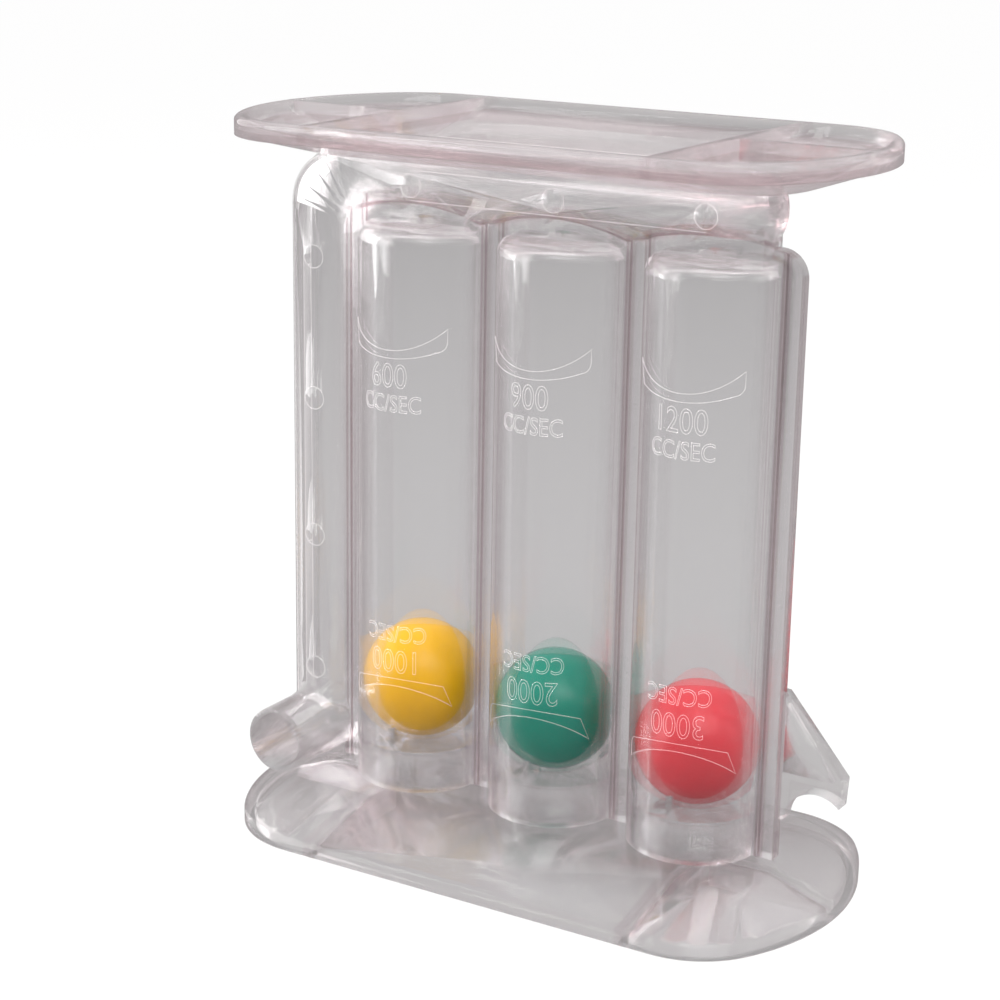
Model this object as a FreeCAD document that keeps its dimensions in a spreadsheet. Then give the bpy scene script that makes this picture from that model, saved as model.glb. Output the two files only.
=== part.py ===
import FreeCAD, Part
import os
import re
import Sketcher

# Three-ball incentive spirometer: two clear shells, bonded on an upright seam plane, form three ball
# tubes and the air duct over and beside them, and an oval dished plate closes each end. Millimetres.
# The origin is the middle of the base on the floor, +X along the row of tubes towards the largest
# flow, -Y towards the user, +Z up.

DRIVING_SIZES = {
    "overall_height": 148.0,
    "body_setback": 2.0,
    "body_offset": 0.6,
    "bond_gap": 0.05,
    "plate_length": 132.0,
    "plate_width": 69.0,
    "plate_end_radius": 47.0,
    "plate_corner_radius": 19.0,
    "plate_wall": 2.0,
    "rim_height": 3.7,
    "rim_wall": 2.4,
    "rim_round": 0.9,
    "crown_rise": 4.3,
    "crown_margin": 2.0,
    "crown_width": 28.8,
    "crown_end_radius": 24.0,
    "crown_corner_radius": 8.0,
    "rib_spacing": 72.0,
    "rib_wall": 2.0,
    "inlet_radius": 6.0,
    "ball_diameter": 25.0,
    "ball_gap": 0.3,
    "ball_rest_gap": 0.1,
    "tube_wall": 0.8,
    "tube_pitch": 32.5,
    "head_gap": 4.2,
    "tube_shoulder": 3.2,
    "tube_cap_wall": 1.2,
    "boss_radius": 3.8,
    "boss_height": 0.9,
    "boss_taper": 0.6,
    "dimple_radius": 1.6,
    "dimple_depth": 0.6,
    "flange_wall": 1.5,
    "flange_edge": 4.4,
    "flange_drop": 1.8,
    "flange_corner_radius": 5.5,
    "arm_width": 9.7,
    "arch_radius": 48.5,
    "arch_shoulder_radius": 9.0,
    "duct_depth": 5.5,
    "duct_wall": 1.2,
    "duct_lip": 0.9,
    "duct_edge_round": 1.4,
    "column_gap": 5.4,
    "column_width": 11.5,
    "arm_end_inset": 6.5,
    "duct_corner_radius": 12.0,
    "duct_end_radius": 10.0,
    "transfer_offset": 7.0,
    "transfer_width": 7.0,
    "transfer_drop": 3.0,
    "port_height": 7.4,
    "port_radius": 7.1,
    "port_collar": 0.25,
    "port_collar_reach": 6.2,
    "port_wall": 1.3,
    "port_reach": 19.1,
    "port_dome_depth": 6.4,
    "port_dome_round": 4.6,
    "mark_radius": 2.4,
    "mark_height": 0.25,
    "mark_low": 20.1,
    "mark_top_gap": 22.7,
    "mark_line_width": 1.2,
    "mark_line_over": 10.0,
    "arm_mark_drop": 6.1,
    "plug_height": 8.6,
    "plug_fit": 0.05,
    "plug_step_height": 3.7,
    "plug_step": 0.7,
    "plug_wall": 1.2,
    "fin_height": 4.4,
    "fin_wall": 1.2,
    "fin_inset": 0.95,
    "fin_width": 3.6,
    "small_orifice_radius": 2.6,
    "small_flow": 600.0,
    "middle_flow": 900.0,
    "large_flow": 1200.0,
    "holder_top": 34.2,
    "holder_reach": 13.1,
    "holder_shoulder": 18.9,
    "holder_tip": 13.2,
    "holder_tip_inset": 0.4,
    "holder_depth": 3.6,
    "holder_web": 1.5,
    "holder_edge": 2.6,
    "notch_reach": 7.9,
    "notch_height": 8.4,
    "notch_radius": 6.7,
}

# Lengths that follow from the driving sizes, as formulas over their names.
BORE = "(ball_diameter / 2 + ball_gap)"
TUBE = f"({BORE} + tube_wall)"
CROWN = "(rim_height + crown_rise)"
BODY_FOOT = f"({CROWN} + bond_gap)"
BODY_TOP = f"(overall_height - 2 * {CROWN} - 2 * bond_gap)"
ARCH_TOP = f"({BODY_TOP} - arm_width)"
TUBE_TOP = f"({ARCH_TOP} - head_gap)"
FLANGE_SIDE = f"(tube_pitch + {TUBE} + flange_edge)"
FLANGE_TOP = f"({ARCH_TOP} - flange_drop)"
CROWN_LENGTH = f"(2 * {FLANGE_SIDE} + 2 * crown_margin)"
COLUMN_INNER = f"(tube_pitch + {TUBE} + column_gap)"
COLUMN_OUTER = f"({COLUMN_INNER} + column_width)"
ARM_END = f"({FLANGE_SIDE} - arm_end_inset)"
PORT_X = f"({COLUMN_INNER} + (column_width - duct_lip) / 2)"
PORT_BORE = "(port_radius - port_wall)"
PORT_COLLAR = "(port_radius + port_collar)"
PLUG_RIM = f"({BORE} - plug_fit)"
FIN_OUTER = f"({PLUG_RIM} - fin_inset)"
FIN_INNER = f"({FIN_OUTER} - fin_width)"
HOLDER_END = f"({FLANGE_SIDE} + holder_reach)"
NOTCH_X = f"({FLANGE_SIDE} + notch_reach)"

TUBE_PLACES = {"left": -1, "middle": 0, "right": 1}
BALL_COLOURS = {"left": "yellow", "middle": "green", "right": "red"}
FLOW_NAMES = {"left": "small_flow", "middle": "middle_flow", "right": "large_flow"}
FIN_COUNT = 3
COLUMN_MARKS = 4
SAME_PLACE = 1e-3

doc = FreeCAD.newDocument("incentive_spirometer")
sheet = doc.addObject("Spreadsheet::Sheet", "Sizes")
pieces = {}


def fill_sheet():
    for row, (alias, size) in enumerate(DRIVING_SIZES.items(), start=1):
        sheet.set(f"A{row}", alias)
        sheet.set(f"B{row}", str(size))
        sheet.setAlias(f"B{row}", alias)
    doc.recompute()


def formula(text):
    """The text with each size's name made a reference to the sheet."""
    return re.sub(r"[a-z_]+", lambda m: f"Sizes.{m[0]}" if m[0] in DRIVING_SIZES else m[0], str(text))


def value(text):
    return float(sheet.evalExpression(formula(text)))


def bind(target, name, text):
    target.setExpression(name, formula(text))


def new_body(label):
    body = doc.addObject("PartDesign::Body", label)
    body.Label = label
    pieces[label] = body
    return body


def origin_item(body, role):
    return next(item for item in body.Origin.OriginFeatures if item.Role == role)


def new_sketch(body, name, role="XZ_Plane", **shifts):
    """A sketch on one of the body's own planes, shifted along the sketch's x, y or z by a formula."""
    sketch = body.newObject("Sketcher::SketchObject", name)
    sketch.AttachmentSupport = [(origin_item(body, role), "")]
    sketch.MapMode = "FlatFace"
    for axis, text in shifts.items():
        bind(sketch, f"AttachmentOffset.Base.{axis}", text)
    return sketch


def hold(sketch, kind, index, point, text):
    """Keep a point's distance from the sketch's origin at a formula."""
    amount = value(text)
    if abs(amount) < SAME_PLACE:
        axis = -2 if kind == "DistanceX" else -1
        sketch.addConstraint(Sketcher.Constraint("PointOnObject", index, point, axis))
        return
    number = sketch.addConstraint(Sketcher.Constraint(kind, -1, 1, index, point, amount))
    bind(sketch, f"Constraints[{number}]", text)


def hold_radius(sketch, index, text):
    number = sketch.addConstraint(Sketcher.Constraint("Radius", index, value(text)))
    bind(sketch, f"Constraints[{number}]", text)


def short_arc(start, end, radius, turn):
    """The short arc from start to end, turning left or right on the way."""
    chord = end - start
    rise = (radius ** 2 - (chord.Length / 2) ** 2) ** 0.5
    side = FreeCAD.Vector(-chord.y, chord.x, 0).normalize() * (1 if turn == "left" else -1)
    middle = (start + end) / 2 + side * (rise - radius)
    return Part.Arc(start, middle, end)


def draw(sketch, corners):
    """Close an outline through corners (x, y) or (x, y, turn, radius of the arc to the next one)."""
    points = [FreeCAD.Vector(value(corner[0]), value(corner[1]), 0) for corner in corners]
    # A sketch keeps its arcs anticlockwise, so one that turns right begins at its second end.
    begins = [2 if len(corner) > 2 and corner[2] == "right" else 1 for corner in corners]
    for index, corner in enumerate(corners):
        start, end = points[index], points[(index + 1) % len(points)]
        if len(corner) > 2:
            sketch.addGeometry(short_arc(start, end, value(corner[3]), corner[2]), False)
        else:
            sketch.addGeometry(Part.LineSegment(start, end), False)
    for index in range(len(corners)):
        after = (index + 1) % len(corners)
        joint = Sketcher.Constraint("Coincident", index, 3 - begins[index], after, begins[after])
        sketch.addConstraint(joint)
    for index, corner in enumerate(corners):
        hold(sketch, "DistanceX", index, begins[index], corner[0])
        hold(sketch, "DistanceY", index, begins[index], corner[1])
        if len(corner) > 2:
            hold_radius(sketch, index, corner[3])


def draw_circle(sketch, x, y, radius):
    index = sketch.addGeometry(Part.Circle(FreeCAD.Vector(value(x), value(y), 0),
                                           FreeCAD.Vector(0, 0, 1), value(radius)), False)
    hold(sketch, "DistanceX", index, 3, x)
    hold(sketch, "DistanceY", index, 3, y)
    hold_radius(sketch, index, radius)


def draw_box(sketch, left, low, right, high):
    draw(sketch, [(left, low), (right, low), (right, high), (left, high)])


def pad(body, name, sketch, length, backwards=False, midplane=False):
    feature = body.newObject("PartDesign::Pad", name)
    feature.Profile = sketch
    feature.Reversed = backwards
    feature.Midplane = midplane
    bind(feature, "Length", length)
    doc.recompute()
    return feature


def check_cut(body, feature, before):
    """See that a cutting feature took material away."""
    if not body.Shape.Volume < before - SAME_PLACE:
        raise RuntimeError(f"{feature.Label} cuts nothing from {body.Label}")
    return feature


def pocket(body, name, sketch, length, backwards=False):
    before = body.Shape.Volume
    feature = body.newObject("PartDesign::Pocket", name)
    feature.Profile = sketch
    feature.Reversed = backwards
    bind(feature, "Length", length)
    doc.recompute()
    return check_cut(body, feature, before)


def turn(body, kind, name, sketch, angle, backwards=False):
    """Revolve or groove a sketch about its own upright axis."""
    feature = body.newObject(kind, name)
    feature.Profile = sketch
    feature.ReferenceAxis = (sketch, ["V_Axis"])
    feature.Angle = angle
    feature.Reversed = not backwards
    doc.recompute()
    return feature


def repeat_over_tubes(body, name, features):
    """Repeat features made at the left tube over the other two."""
    pattern = body.newObject("PartDesign::LinearPattern", name)
    pattern.Originals = features
    pattern.Direction = (origin_item(body, "X_Axis"), [""])
    bind(pattern, "Length", "2 * tube_pitch")
    pattern.Occurrences = len(TUBE_PLACES)
    body.Tip = pattern
    doc.recompute()
    return pattern


def edges_at(shape, axis, place):
    """Names of the edges that lie wholly at one place along an axis."""
    names = []
    for number, edge in enumerate(shape.Edges, start=1):
        box = edge.BoundBox
        low, high = getattr(box, f"{axis}Min"), getattr(box, f"{axis}Max")
        if abs(low - place) < SAME_PLACE and abs(high - place) < SAME_PLACE:
            names.append(f"Edge{number}")
    return names


def fillet(body, name, base, edge_names, radius):
    feature = body.newObject("PartDesign::Fillet", name)
    feature.Base = (base, edge_names)
    bind(feature, "Radius", radius)
    doc.recompute()
    return feature


def oval(half_length, half_width, end_radius, corner_radius):
    """Corners of an oval: straight sides, a wide arc at each end, and a tighter arc between."""
    end_x = f"({half_length} - {end_radius})"
    arc_gap = f"({end_radius} - {corner_radius})"
    corner_y = f"({half_width} - {corner_radius})"
    reach = f"sqrt({arc_gap} ^ 2 - {corner_y} ^ 2)"
    side_x = f"({end_x} + {reach})"
    meet_x = f"({end_x} + {reach} * {end_radius} / {arc_gap})"
    meet_y = f"({corner_y} * {end_radius} / {arc_gap})"
    small = ("left", corner_radius)
    large = ("left", end_radius)
    return [
        (f"-{side_x}", f"-{half_width}"), (side_x, f"-{half_width}", *small),
        (meet_x, f"-{meet_y}", *large), (meet_x, meet_y, *small),
        (side_x, half_width), (f"-{side_x}", half_width, *small),
        (f"-{meet_x}", meet_y, *large), (f"-{meet_x}", f"-{meet_y}", *small),
    ]


def plate_oval(inset):
    return oval(f"(plate_length / 2 - {inset})", f"(plate_width / 2 - {inset})",
                f"(plate_end_radius - {inset})", f"(plate_corner_radius - {inset})")


def crown_oval(inset):
    return oval(f"({CROWN_LENGTH} / 2 - {inset})", f"(crown_width / 2 - {inset})",
                f"(crown_end_radius - {inset})", f"(crown_corner_radius - {inset})")


def loft(body, kind, name, low_sketch, high_sketch):
    feature = body.newObject(kind, name)
    feature.Profile = low_sketch
    feature.Sections = [high_sketch]
    feature.Ruled = True
    doc.recompute()
    return feature


def make_plate(label, with_inlets):
    """An oval dish, rim down: its top swells into a crown, and ribs cross the hollow below."""
    body = new_body(label)
    outline = new_sketch(body, f"{label}_outline", "XY_Plane")
    draw(outline, plate_oval("0"))
    rim = pad(body, f"{label}_rim", outline, "rim_height")
    fillet(body, f"{label}_foot_round", rim, edges_at(rim.Shape, "Z", 0), "rim_round")
    brim = new_sketch(body, f"{label}_brim", "XY_Plane", z="rim_height")
    draw(brim, plate_oval("rim_round"))
    crown = new_sketch(body, f"{label}_crown", "XY_Plane", z=CROWN)
    draw(crown, crown_oval("0"))
    loft(body, "PartDesign::AdditiveLoft", f"{label}_swell", brim, crown)

    inside = new_sketch(body, f"{label}_inside", "XY_Plane")
    draw(inside, plate_oval("rim_wall"))
    pocket(body, f"{label}_hollow", inside, "rim_height - plate_wall", backwards=True)
    ceiling = new_sketch(body, f"{label}_ceiling", "XY_Plane", z="rim_height - plate_wall")
    draw(ceiling, plate_oval("rim_wall"))
    peak = new_sketch(body, f"{label}_peak", "XY_Plane", z=f"{CROWN} - plate_wall")
    draw(peak, crown_oval("plate_wall / 2"))
    loft(body, "PartDesign::SubtractiveLoft", f"{label}_dish", ceiling, peak)
    add_plate_ribs(body, label)
    if with_inlets:
        hole = new_sketch(body, f"{label}_inlet", "XY_Plane")
        draw_circle(hole, "body_offset - tube_pitch", "body_setback", "inlet_radius")
        inlet = pocket(body, f"{label}_inlet_hole", hole, CROWN, backwards=True)
        repeat_over_tubes(body, f"{label}_inlets", [inlet])
    return body


def add_plate_ribs(body, label):
    """Two ribs across the dish, and one along the middle from each of them to the tip."""
    side = "(plate_width / 2 - rim_wall / 2)"
    tip = "(plate_length / 2 - rim_wall / 2)"
    low_top = "(rim_height - plate_wall / 2)"
    high_top = f"({CROWN} - plate_wall / 2)"
    for end, place in (("left", "-rib_spacing / 2"), ("right", "rib_spacing / 2")):
        cross = new_sketch(body, f"{label}_{end}_cross", "YZ_Plane", z=place)
        draw(cross, [(f"-{side}", "0"), (side, "0"), (side, low_top), ("crown_width / 2", high_top),
                     ("-crown_width / 2", high_top), (f"-{side}", low_top)])
        pad(body, f"{label}_{end}_cross_rib", cross, "rib_wall", midplane=True)
    for end, sign in (("left", "-1"), ("right", "1")):
        along = new_sketch(body, f"{label}_{end}_along", "XZ_Plane")
        corners = [("rib_spacing / 2", "0"), (tip, "0"), (tip, low_top),
                   (f"{CROWN_LENGTH} / 2", high_top), ("rib_spacing / 2", high_top)]
        draw(along, [(f"{sign} * {x}", z) for x, z in corners])
        pad(body, f"{label}_{end}_along_rib", along, "rib_wall", midplane=True)


def valley(offset):
    """Height of the low point between two arches that are moved outwards by an offset."""
    return f"({ARCH_TOP} - arch_radius + sqrt((arch_radius + {offset}) ^ 2 - (tube_pitch / 2) ^ 2))"


def arches(offset, right_end):
    """The edge over the tubes, from the foot of the left shoulder to its right end."""
    top = f"({ARCH_TOP} + {offset})"
    left_side = f"-({COLUMN_INNER} + {offset})"
    shoulder = f"(arch_shoulder_radius + {offset})"
    bend = ("right", f"(arch_radius + {offset})")
    return [
        (left_side, f"{ARCH_TOP} - arch_shoulder_radius", "right", shoulder),
        (f"arch_shoulder_radius - {COLUMN_INNER}", top), ("-tube_pitch", top, *bend),
        ("-tube_pitch / 2", valley(offset), *bend), ("tube_pitch / 2", valley(offset), *bend),
        ("tube_pitch", top), (right_end, top, "left", "duct_end_radius"),
    ]


def duct_outline(lip, wall):
    """The duct seen from the front: a column at the left and an arm over the arches."""
    left = f"({COLUMN_OUTER} - {lip} - {wall})"
    right = f"({ARM_END} - {lip} - {wall})"
    top = f"({BODY_TOP} - {lip} - {wall})"
    corner = f"(duct_corner_radius - {lip} - {wall})"
    return [
        (f"-{left}", "port_height"), (f"-({COLUMN_INNER} + {wall})", "port_height"),
        *arches(wall, right), (right, top),
        (f"{corner} - {left}", top, "left", corner), (f"-{left}", f"{top} - {corner}"),
    ]


def flange_outline():
    """The seam flange: tube block, duct and right edge in one sheet."""
    corner = "flange_corner_radius"
    return [
        (f"-{COLUMN_OUTER}", "port_height"), (f"-{COLUMN_INNER}", "port_height"),
        (f"-{COLUMN_INNER}", "0"), (FLANGE_SIDE, "0"),
        (FLANGE_SIDE, f"{FLANGE_TOP} - {corner}", "left", corner), (f"{FLANGE_SIDE} - {corner}", FLANGE_TOP),
        (ARM_END, FLANGE_TOP), (ARM_END, ARCH_TOP, "left", "duct_end_radius"), (ARM_END, BODY_TOP),
        (f"duct_corner_radius - {COLUMN_OUTER}", BODY_TOP, "left", "duct_corner_radius"),
        (f"-{COLUMN_OUTER}", f"{BODY_TOP} - duct_corner_radius"),
    ]


def tube_profile():
    """Half of a tube's outside: wall, rounded shoulder, and the dimpled boss on its cap."""
    boss_top = f"({TUBE_TOP} + boss_height)"
    return [
        ("0", "0"), (TUBE, "0"), (TUBE, f"{TUBE_TOP} - tube_shoulder", "left", "tube_shoulder"),
        (f"{TUBE} - tube_shoulder", TUBE_TOP), ("boss_radius", TUBE_TOP),
        ("boss_radius - boss_taper", boss_top), ("dimple_radius", boss_top),
        ("dimple_radius", f"{boss_top} - dimple_depth"), ("0", f"{boss_top} - dimple_depth"),
    ]


def bore_profile():
    """Half of the space inside a tube, from just below its foot to its cap."""
    cap = f"({TUBE_TOP} - tube_cap_wall)"
    bend = "(tube_shoulder - tube_wall)"
    return [("0", "-tube_cap_wall"), (BORE, "-tube_cap_wall"), (BORE, f"{cap} - {bend}", "left", bend),
            (f"{BORE} - {bend}", cap), ("0", cap)]


def make_shell(label, rear):
    """What the two shells share: flange, duct half and tube halves, on one side of the seam."""
    body = new_body(label)
    sheet_sketch = new_sketch(body, f"{label}_flange_outline")
    draw(sheet_sketch, flange_outline())
    pad(body, f"{label}_flange", sheet_sketch, "flange_wall", rear)
    duct_sketch = new_sketch(body, f"{label}_duct_outline")
    draw(duct_sketch, duct_outline("duct_lip", "0"))
    duct = pad(body, f"{label}_duct", duct_sketch, "duct_depth", rear)
    fillet(body, f"{label}_duct_round", duct, duct_rim_edges(duct.Shape, rear), "duct_edge_round")
    return body


def duct_rim_edges(shape, rear):
    """The outer edges of the duct's face: left side, large corner and top."""
    face_place = value("duct_depth") * (1 if rear else -1)
    top = value(f"{BODY_TOP} - duct_lip") - SAME_PLACE
    column = -value(COLUMN_INNER) - SAME_PLACE
    boxes = {name: shape.getElement(name).BoundBox for name in edges_at(shape, "Y", face_place)}
    return [name for name, box in boxes.items() if box.XMin < 0 and (box.ZMax > top or box.XMax < column)]


def add_tube_walls(body, label, rear):
    outside = new_sketch(body, f"{label}_tube_profile", x="-tube_pitch")
    draw(outside, tube_profile())
    half_tube = turn(body, "PartDesign::Revolution", f"{label}_half_tube", outside, 180, rear)
    repeat_over_tubes(body, f"{label}_half_tubes", [half_tube])


def cut_bores(body, label, rear):
    before = body.Shape.Volume
    inside = new_sketch(body, f"{label}_bore_profile", x="-tube_pitch")
    draw(inside, bore_profile())
    bore = turn(body, "PartDesign::Groove", f"{label}_half_bore", inside, 180, rear)
    check_cut(body, bore, before)
    repeat_over_tubes(body, f"{label}_half_bores", [bore])


def hollow_duct(body, label, rear):
    inside = new_sketch(body, f"{label}_duct_inside")
    draw(inside, duct_outline("duct_lip", "duct_wall"))
    pocket(body, f"{label}_duct_hollow", inside, "duct_depth - duct_wall", not rear)


def make_front_shell():
    label = "front_shell"
    body = make_shell(label, rear=False)
    for name, radius, reach in (("hose_port", "port_radius", "port_reach"),
                                ("hose_port_collar", PORT_COLLAR, "port_collar_reach")):
        port = new_sketch(body, f"{name}_outline")
        draw_circle(port, f"-{PORT_X}", "port_height", radius)
        pad(body, name, port, reach)
    add_tube_walls(body, label, rear=False)
    cut_bores(body, label, rear=False)
    hollow_duct(body, label, rear=False)
    bore = new_sketch(body, "hose_port_bore_outline")
    draw_circle(bore, f"-{PORT_X}", "port_height", PORT_BORE)
    pocket(body, "hose_port_bore", bore, "port_reach", backwards=True)
    add_marks(body)
    return body


def add_marks(body):
    """Low round pads on the duct's face, joined down the column by a low line."""
    column = f"-({COLUMN_INNER} + (column_width - duct_lip - duct_edge_round) / 2)"
    face = "duct_depth"
    spacing = f"({BODY_TOP} - mark_low - mark_top_gap) / {COLUMN_MARKS - 1}"
    heights = [f"mark_low + {step} * {spacing}" for step in range(COLUMN_MARKS)]
    line = new_sketch(body, "mark_line_outline", z=face)
    draw_box(line, f"{column} - mark_line_width / 2", "mark_low", f"{column} + mark_line_width / 2",
             f"{heights[-1]} + mark_line_over")
    pad(body, "mark_line", line, "mark_height")
    places = [(column, height) for height in heights]
    places += [(f"{side} * tube_pitch", f"{BODY_TOP} - arm_mark_drop") for side in TUBE_PLACES.values()]
    for number, (x, z) in enumerate(places, start=1):
        mark = new_sketch(body, f"mark_{number}_outline", z=face)
        draw_circle(mark, x, z, "mark_radius")
        pad(body, f"mark_{number}", mark, "mark_height")


def make_rear_shell():
    label = "rear_shell"
    body = make_shell(label, rear=True)
    add_port_dome(body)
    add_holder(body)
    add_tube_walls(body, label, rear=True)
    add_transfer_walls(body)
    cut_bores(body, label, rear=True)
    cut_transfers(body)
    hollow_duct(body, label, rear=True)
    hollow_port_dome(body)
    return body


def dome_profile(radius):
    """Half of the rounded end behind the hose port, drawn looking down."""
    depth = f"(port_dome_depth - {PORT_COLLAR} + {radius})"
    bend = f"(port_dome_round - {PORT_COLLAR} + {radius})"
    return [("0", "0"), (radius, "0"), (radius, f"{depth} - {bend}", "left", bend),
            (f"{radius} - {bend}", depth), ("0", depth)]


def add_port_dome(body):
    profile = new_sketch(body, "port_dome_profile", "XY_Plane", x=f"-{PORT_X}", z="port_height")
    draw(profile, dome_profile(PORT_COLLAR))
    turn(body, "PartDesign::Revolution", "port_dome", profile, 360)


def hollow_port_dome(body):
    before = body.Shape.Volume
    profile = new_sketch(body, "port_dome_inside", "XY_Plane", x=f"-{PORT_X}", z="port_height")
    draw(profile, dome_profile(PORT_BORE))
    check_cut(body, turn(body, "PartDesign::Groove", "port_dome_hollow", profile, 360), before)


def transfer_box(wall, high):
    """Outline of the passage behind a tube's cap, inside or outside its walls."""
    middle = "(transfer_offset - tube_pitch)"
    half = f"(transfer_width / 2 - {wall})"
    low = f"{TUBE_TOP} - tube_cap_wall - transfer_drop + {wall}"
    return f"{middle} - {half}", low, f"{middle} + {half}", high


def add_transfer_walls(body):
    """A boxed passage behind the cap of each tube, up to the duct's arm."""
    box = new_sketch(body, "transfer_outline")
    draw_box(box, *transfer_box("0", ARCH_TOP))
    walls = pad(body, "transfer_walls", box, "duct_depth", backwards=True)
    repeat_over_tubes(body, "transfer_walls_row", [walls])


def cut_transfers(body):
    inside = new_sketch(body, "transfer_inside")
    draw_box(inside, *transfer_box("duct_wall", f"{ARCH_TOP} + 2 * duct_wall"))
    slot = pocket(body, "transfer_slot", inside, "duct_depth - duct_wall")
    repeat_over_tubes(body, "transfer_slots", [slot])


def add_holder(body):
    """The bracket at the right that the mouthpiece is parked in, with a thick edge round a thin web."""
    root = f"({FLANGE_SIDE} - flange_wall)"
    outline = new_sketch(body, "holder_outline")
    draw(outline, [(root, "notch_height"), (NOTCH_X, "notch_height"),
                   (f"{HOLDER_END} - holder_tip_inset", "holder_tip"), (HOLDER_END, "holder_shoulder"),
                   (FLANGE_SIDE, "holder_top"), (root, "holder_top")])
    pad(body, "holder", outline, "holder_depth", backwards=True)
    notch = new_sketch(body, "holder_notch_outline")
    draw_circle(notch, NOTCH_X, "notch_height", "notch_radius")
    pocket(body, "holder_notch", notch, "holder_depth")
    web = new_sketch(body, "holder_web_outline", z="-holder_depth")
    draw(web, [(FLANGE_SIDE, "notch_height + notch_radius + holder_edge"),
               (f"{HOLDER_END} - holder_edge", "holder_shoulder - holder_edge / 2"),
               (FLANGE_SIDE, "holder_top - holder_edge")])
    pocket(body, "holder_web_recess", web, "holder_depth - holder_web", backwards=True)


def orifice_radius(place):
    return f"(small_orifice_radius * sqrt({FLOW_NAMES[place]} / small_flow))"


def rest_height(place):
    """A ball's centre above the top of its plug, a small gap clear of the orifice's edge."""
    return f"sqrt((ball_diameter / 2 + ball_rest_gap) ^ 2 - {orifice_radius(place)} ^ 2)"


def make_plug(place):
    """The stepped plug in a tube's foot, with its air orifice and the fins that centre the ball."""
    label = f"{place}_tube_plug"
    body = new_body(label)
    rim = PLUG_RIM
    neck = f"({rim} - plug_step)"
    skirt = f"({neck} - plug_wall)"
    orifice = orifice_radius(place)
    profile = new_sketch(body, f"{label}_profile")
    draw(profile, [(skirt, "0"), (rim, "0"), (rim, "plug_step_height"), (neck, "plug_step_height"),
                   (neck, "plug_height - plug_step"), (rim, "plug_height - plug_step"),
                   (rim, "plug_height"), (orifice, "plug_height"),
                   (orifice, "plug_height - plug_wall"), (skirt, "plug_height - plug_wall")])
    turn(body, "PartDesign::Revolution", f"{label}_turned", profile, 360)
    fin = new_sketch(body, f"{label}_fin_outline", "YZ_Plane")
    draw(fin, [(f"-{FIN_OUTER}", "plug_height - plug_wall / 2"),
               (f"-{FIN_INNER}", "plug_height - plug_wall / 2"), (f"-{FIN_INNER}", "plug_height"),
               (f"-{FIN_OUTER} + plug_step", "plug_height + fin_height"),
               (f"-{FIN_OUTER}", "plug_height + fin_height")])
    blade = pad(body, f"{label}_fin", fin, "fin_wall", midplane=True)
    fins = body.newObject("PartDesign::PolarPattern", f"{label}_fins")
    fins.Originals = [blade]
    fins.Axis = (origin_item(body, "Z_Axis"), [""])
    fins.Angle = 360
    fins.Occurrences = FIN_COUNT
    body.Tip = fins
    return body


def make_ball(place):
    label = f"{BALL_COLOURS[place]}_ball"
    ball = doc.addObject("Part::Sphere", label)
    ball.Label = label
    bind(ball, "Radius", "ball_diameter / 2")
    pieces[label] = ball
    return ball


def put(piece, x="0", y="0", z="0"):
    for axis, text in (("x", x), ("y", y), ("z", z)):
        bind(piece, f"Placement.Base.{axis}", text)


def assemble():
    make_plate("base_plate", with_inlets=True)
    top = make_plate("top_plate", with_inlets=False)
    top.Placement = FreeCAD.Placement(FreeCAD.Vector(), FreeCAD.Rotation(FreeCAD.Vector(1, 0, 0), 180))
    put(top, z="overall_height")
    put(make_front_shell(), "body_offset", "body_setback - bond_gap / 2", BODY_FOOT)
    put(make_rear_shell(), "body_offset", "body_setback + bond_gap / 2", BODY_FOOT)
    for place, side in TUBE_PLACES.items():
        axis_x = f"body_offset + {side} * tube_pitch"
        put(make_plug(place), axis_x, "body_setback", BODY_FOOT)
        put(make_ball(place), axis_x, "body_setback",
            f"{BODY_FOOT} + plug_height + {rest_height(place)}")


def check_document():
    for item in doc.Objects:
        if "Invalid" in item.State or "Error" in item.State:
            raise RuntimeError(f"{item.Name} failed: {item.State}")
    for label, piece in pieces.items():
        shape = piece.Shape
        if shape.isNull() or not shape.isValid() or len(shape.Solids) != 1:
            raise RuntimeError(f"{label} is not one sound solid")


def write_steps():
    os.makedirs("parts", exist_ok=True)
    for label, piece in pieces.items():
        piece.Shape.exportStep(f"parts/{label}.step")
        box = piece.Shape.BoundBox
        print(f"{label}: {piece.Shape.Volume:.0f} mm3, {box.XLength:.1f} x {box.YLength:.1f} x "
              f"{box.ZLength:.1f} mm")


fill_sheet()
assemble()
doc.recompute()
check_document()
write_steps()
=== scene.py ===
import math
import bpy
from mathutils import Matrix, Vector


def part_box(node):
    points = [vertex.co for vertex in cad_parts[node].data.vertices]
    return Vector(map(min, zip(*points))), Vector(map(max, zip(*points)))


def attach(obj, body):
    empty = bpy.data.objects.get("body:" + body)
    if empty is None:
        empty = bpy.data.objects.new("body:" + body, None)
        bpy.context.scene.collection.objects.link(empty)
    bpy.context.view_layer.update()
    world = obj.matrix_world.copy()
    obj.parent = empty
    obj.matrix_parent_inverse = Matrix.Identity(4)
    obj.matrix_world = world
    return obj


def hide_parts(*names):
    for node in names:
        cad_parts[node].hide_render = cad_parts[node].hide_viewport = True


bl_info = {
    "name": "Incentive spirometer looks",
    "version": (1, 0, 0),
    "blender": (4, 5, 0),
    "location": "3D View > Sidebar > Spirometer",
    "description": "Dresses the packed spirometer: clear plastic, balls, markings, bubbles and a stage",
    "category": "Object",
}

import bmesh
import bpy
from mathutils import Matrix, Vector

MM = 0.001
ORIGIN = (0.0, 0.0, 0.0)

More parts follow.
